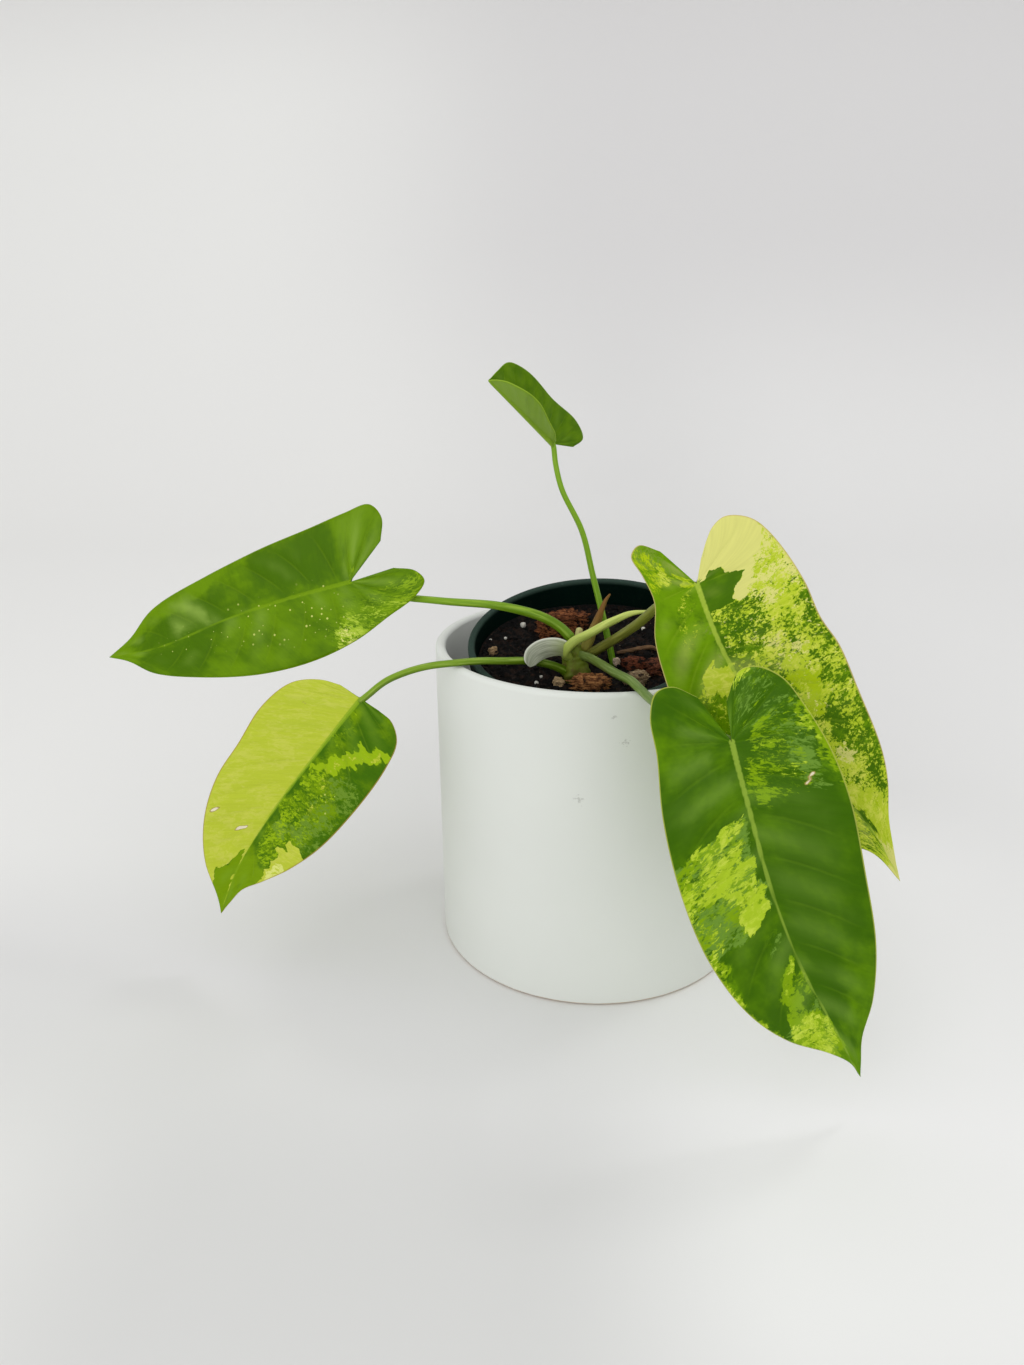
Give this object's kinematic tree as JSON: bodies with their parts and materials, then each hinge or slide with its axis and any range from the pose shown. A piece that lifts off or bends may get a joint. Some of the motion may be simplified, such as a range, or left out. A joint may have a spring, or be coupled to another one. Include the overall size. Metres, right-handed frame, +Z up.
{
  "type": "potted variegated burle marx philodendron",
  "caption": "Small variegated philodendron with long pointed leaves marbled green, lime and cream, in a dark nursery pot leaning inside a plain white cylindrical cachepot.",
  "frame": {"origin": "centre of the cachepot's base, on the face it stands on", "axes": "+Z up, +X to the right and +Y to the back of the plant as it is pictured; the rightmost leaf hangs towards -Y"},
  "size_m": [0.3389, 0.2021, 0.2585],
  "materials": {
    "white_glaze": "satin",
    "pot_plastic": "satin",
    "potting_soil": "matte",
    "crown_tissue": "satin",
    "leaf_blade": "satin",
    "leaf_stem": "satin",
    "pale_sheath": "satin",
    "dry_sheath": "matte",
    "white_sheath": "satin",
    "bark": "matte",
    "pebble": "matte"
  },
  "bodies": {
    "root": {"cachepot": "white_glaze", "nursery_pot": "pot_plastic", "soil": "potting_soil", "crown": "crown_tissue", "stalk_stub": "pale_sheath", "sheath_pale": "pale_sheath", "sheath_brown": "dry_sheath", "sheath_white": "white_sheath", "blade_upper_left": "leaf_blade", "blade_lower_left": "leaf_blade", "blade_small_upright": "leaf_blade", "blade_right_back": "leaf_blade", "blade_right_front": "leaf_blade", "petiole_upper_left": "leaf_stem", "petiole_lower_left": "leaf_stem", "petiole_small_upright": "leaf_stem", "petiole_right_back": "leaf_stem", "petiole_right_front": "leaf_stem", "bark_back": "bark", "bark_front": "bark", "bark_pale": "bark", "bark_right": "bark", "bark_far_right": "bark", "twig": "bark", "pebble_front": "pebble", "pebble_left": "pebble", "pebble_behind": "pebble"}
  },
  "joints": []
}
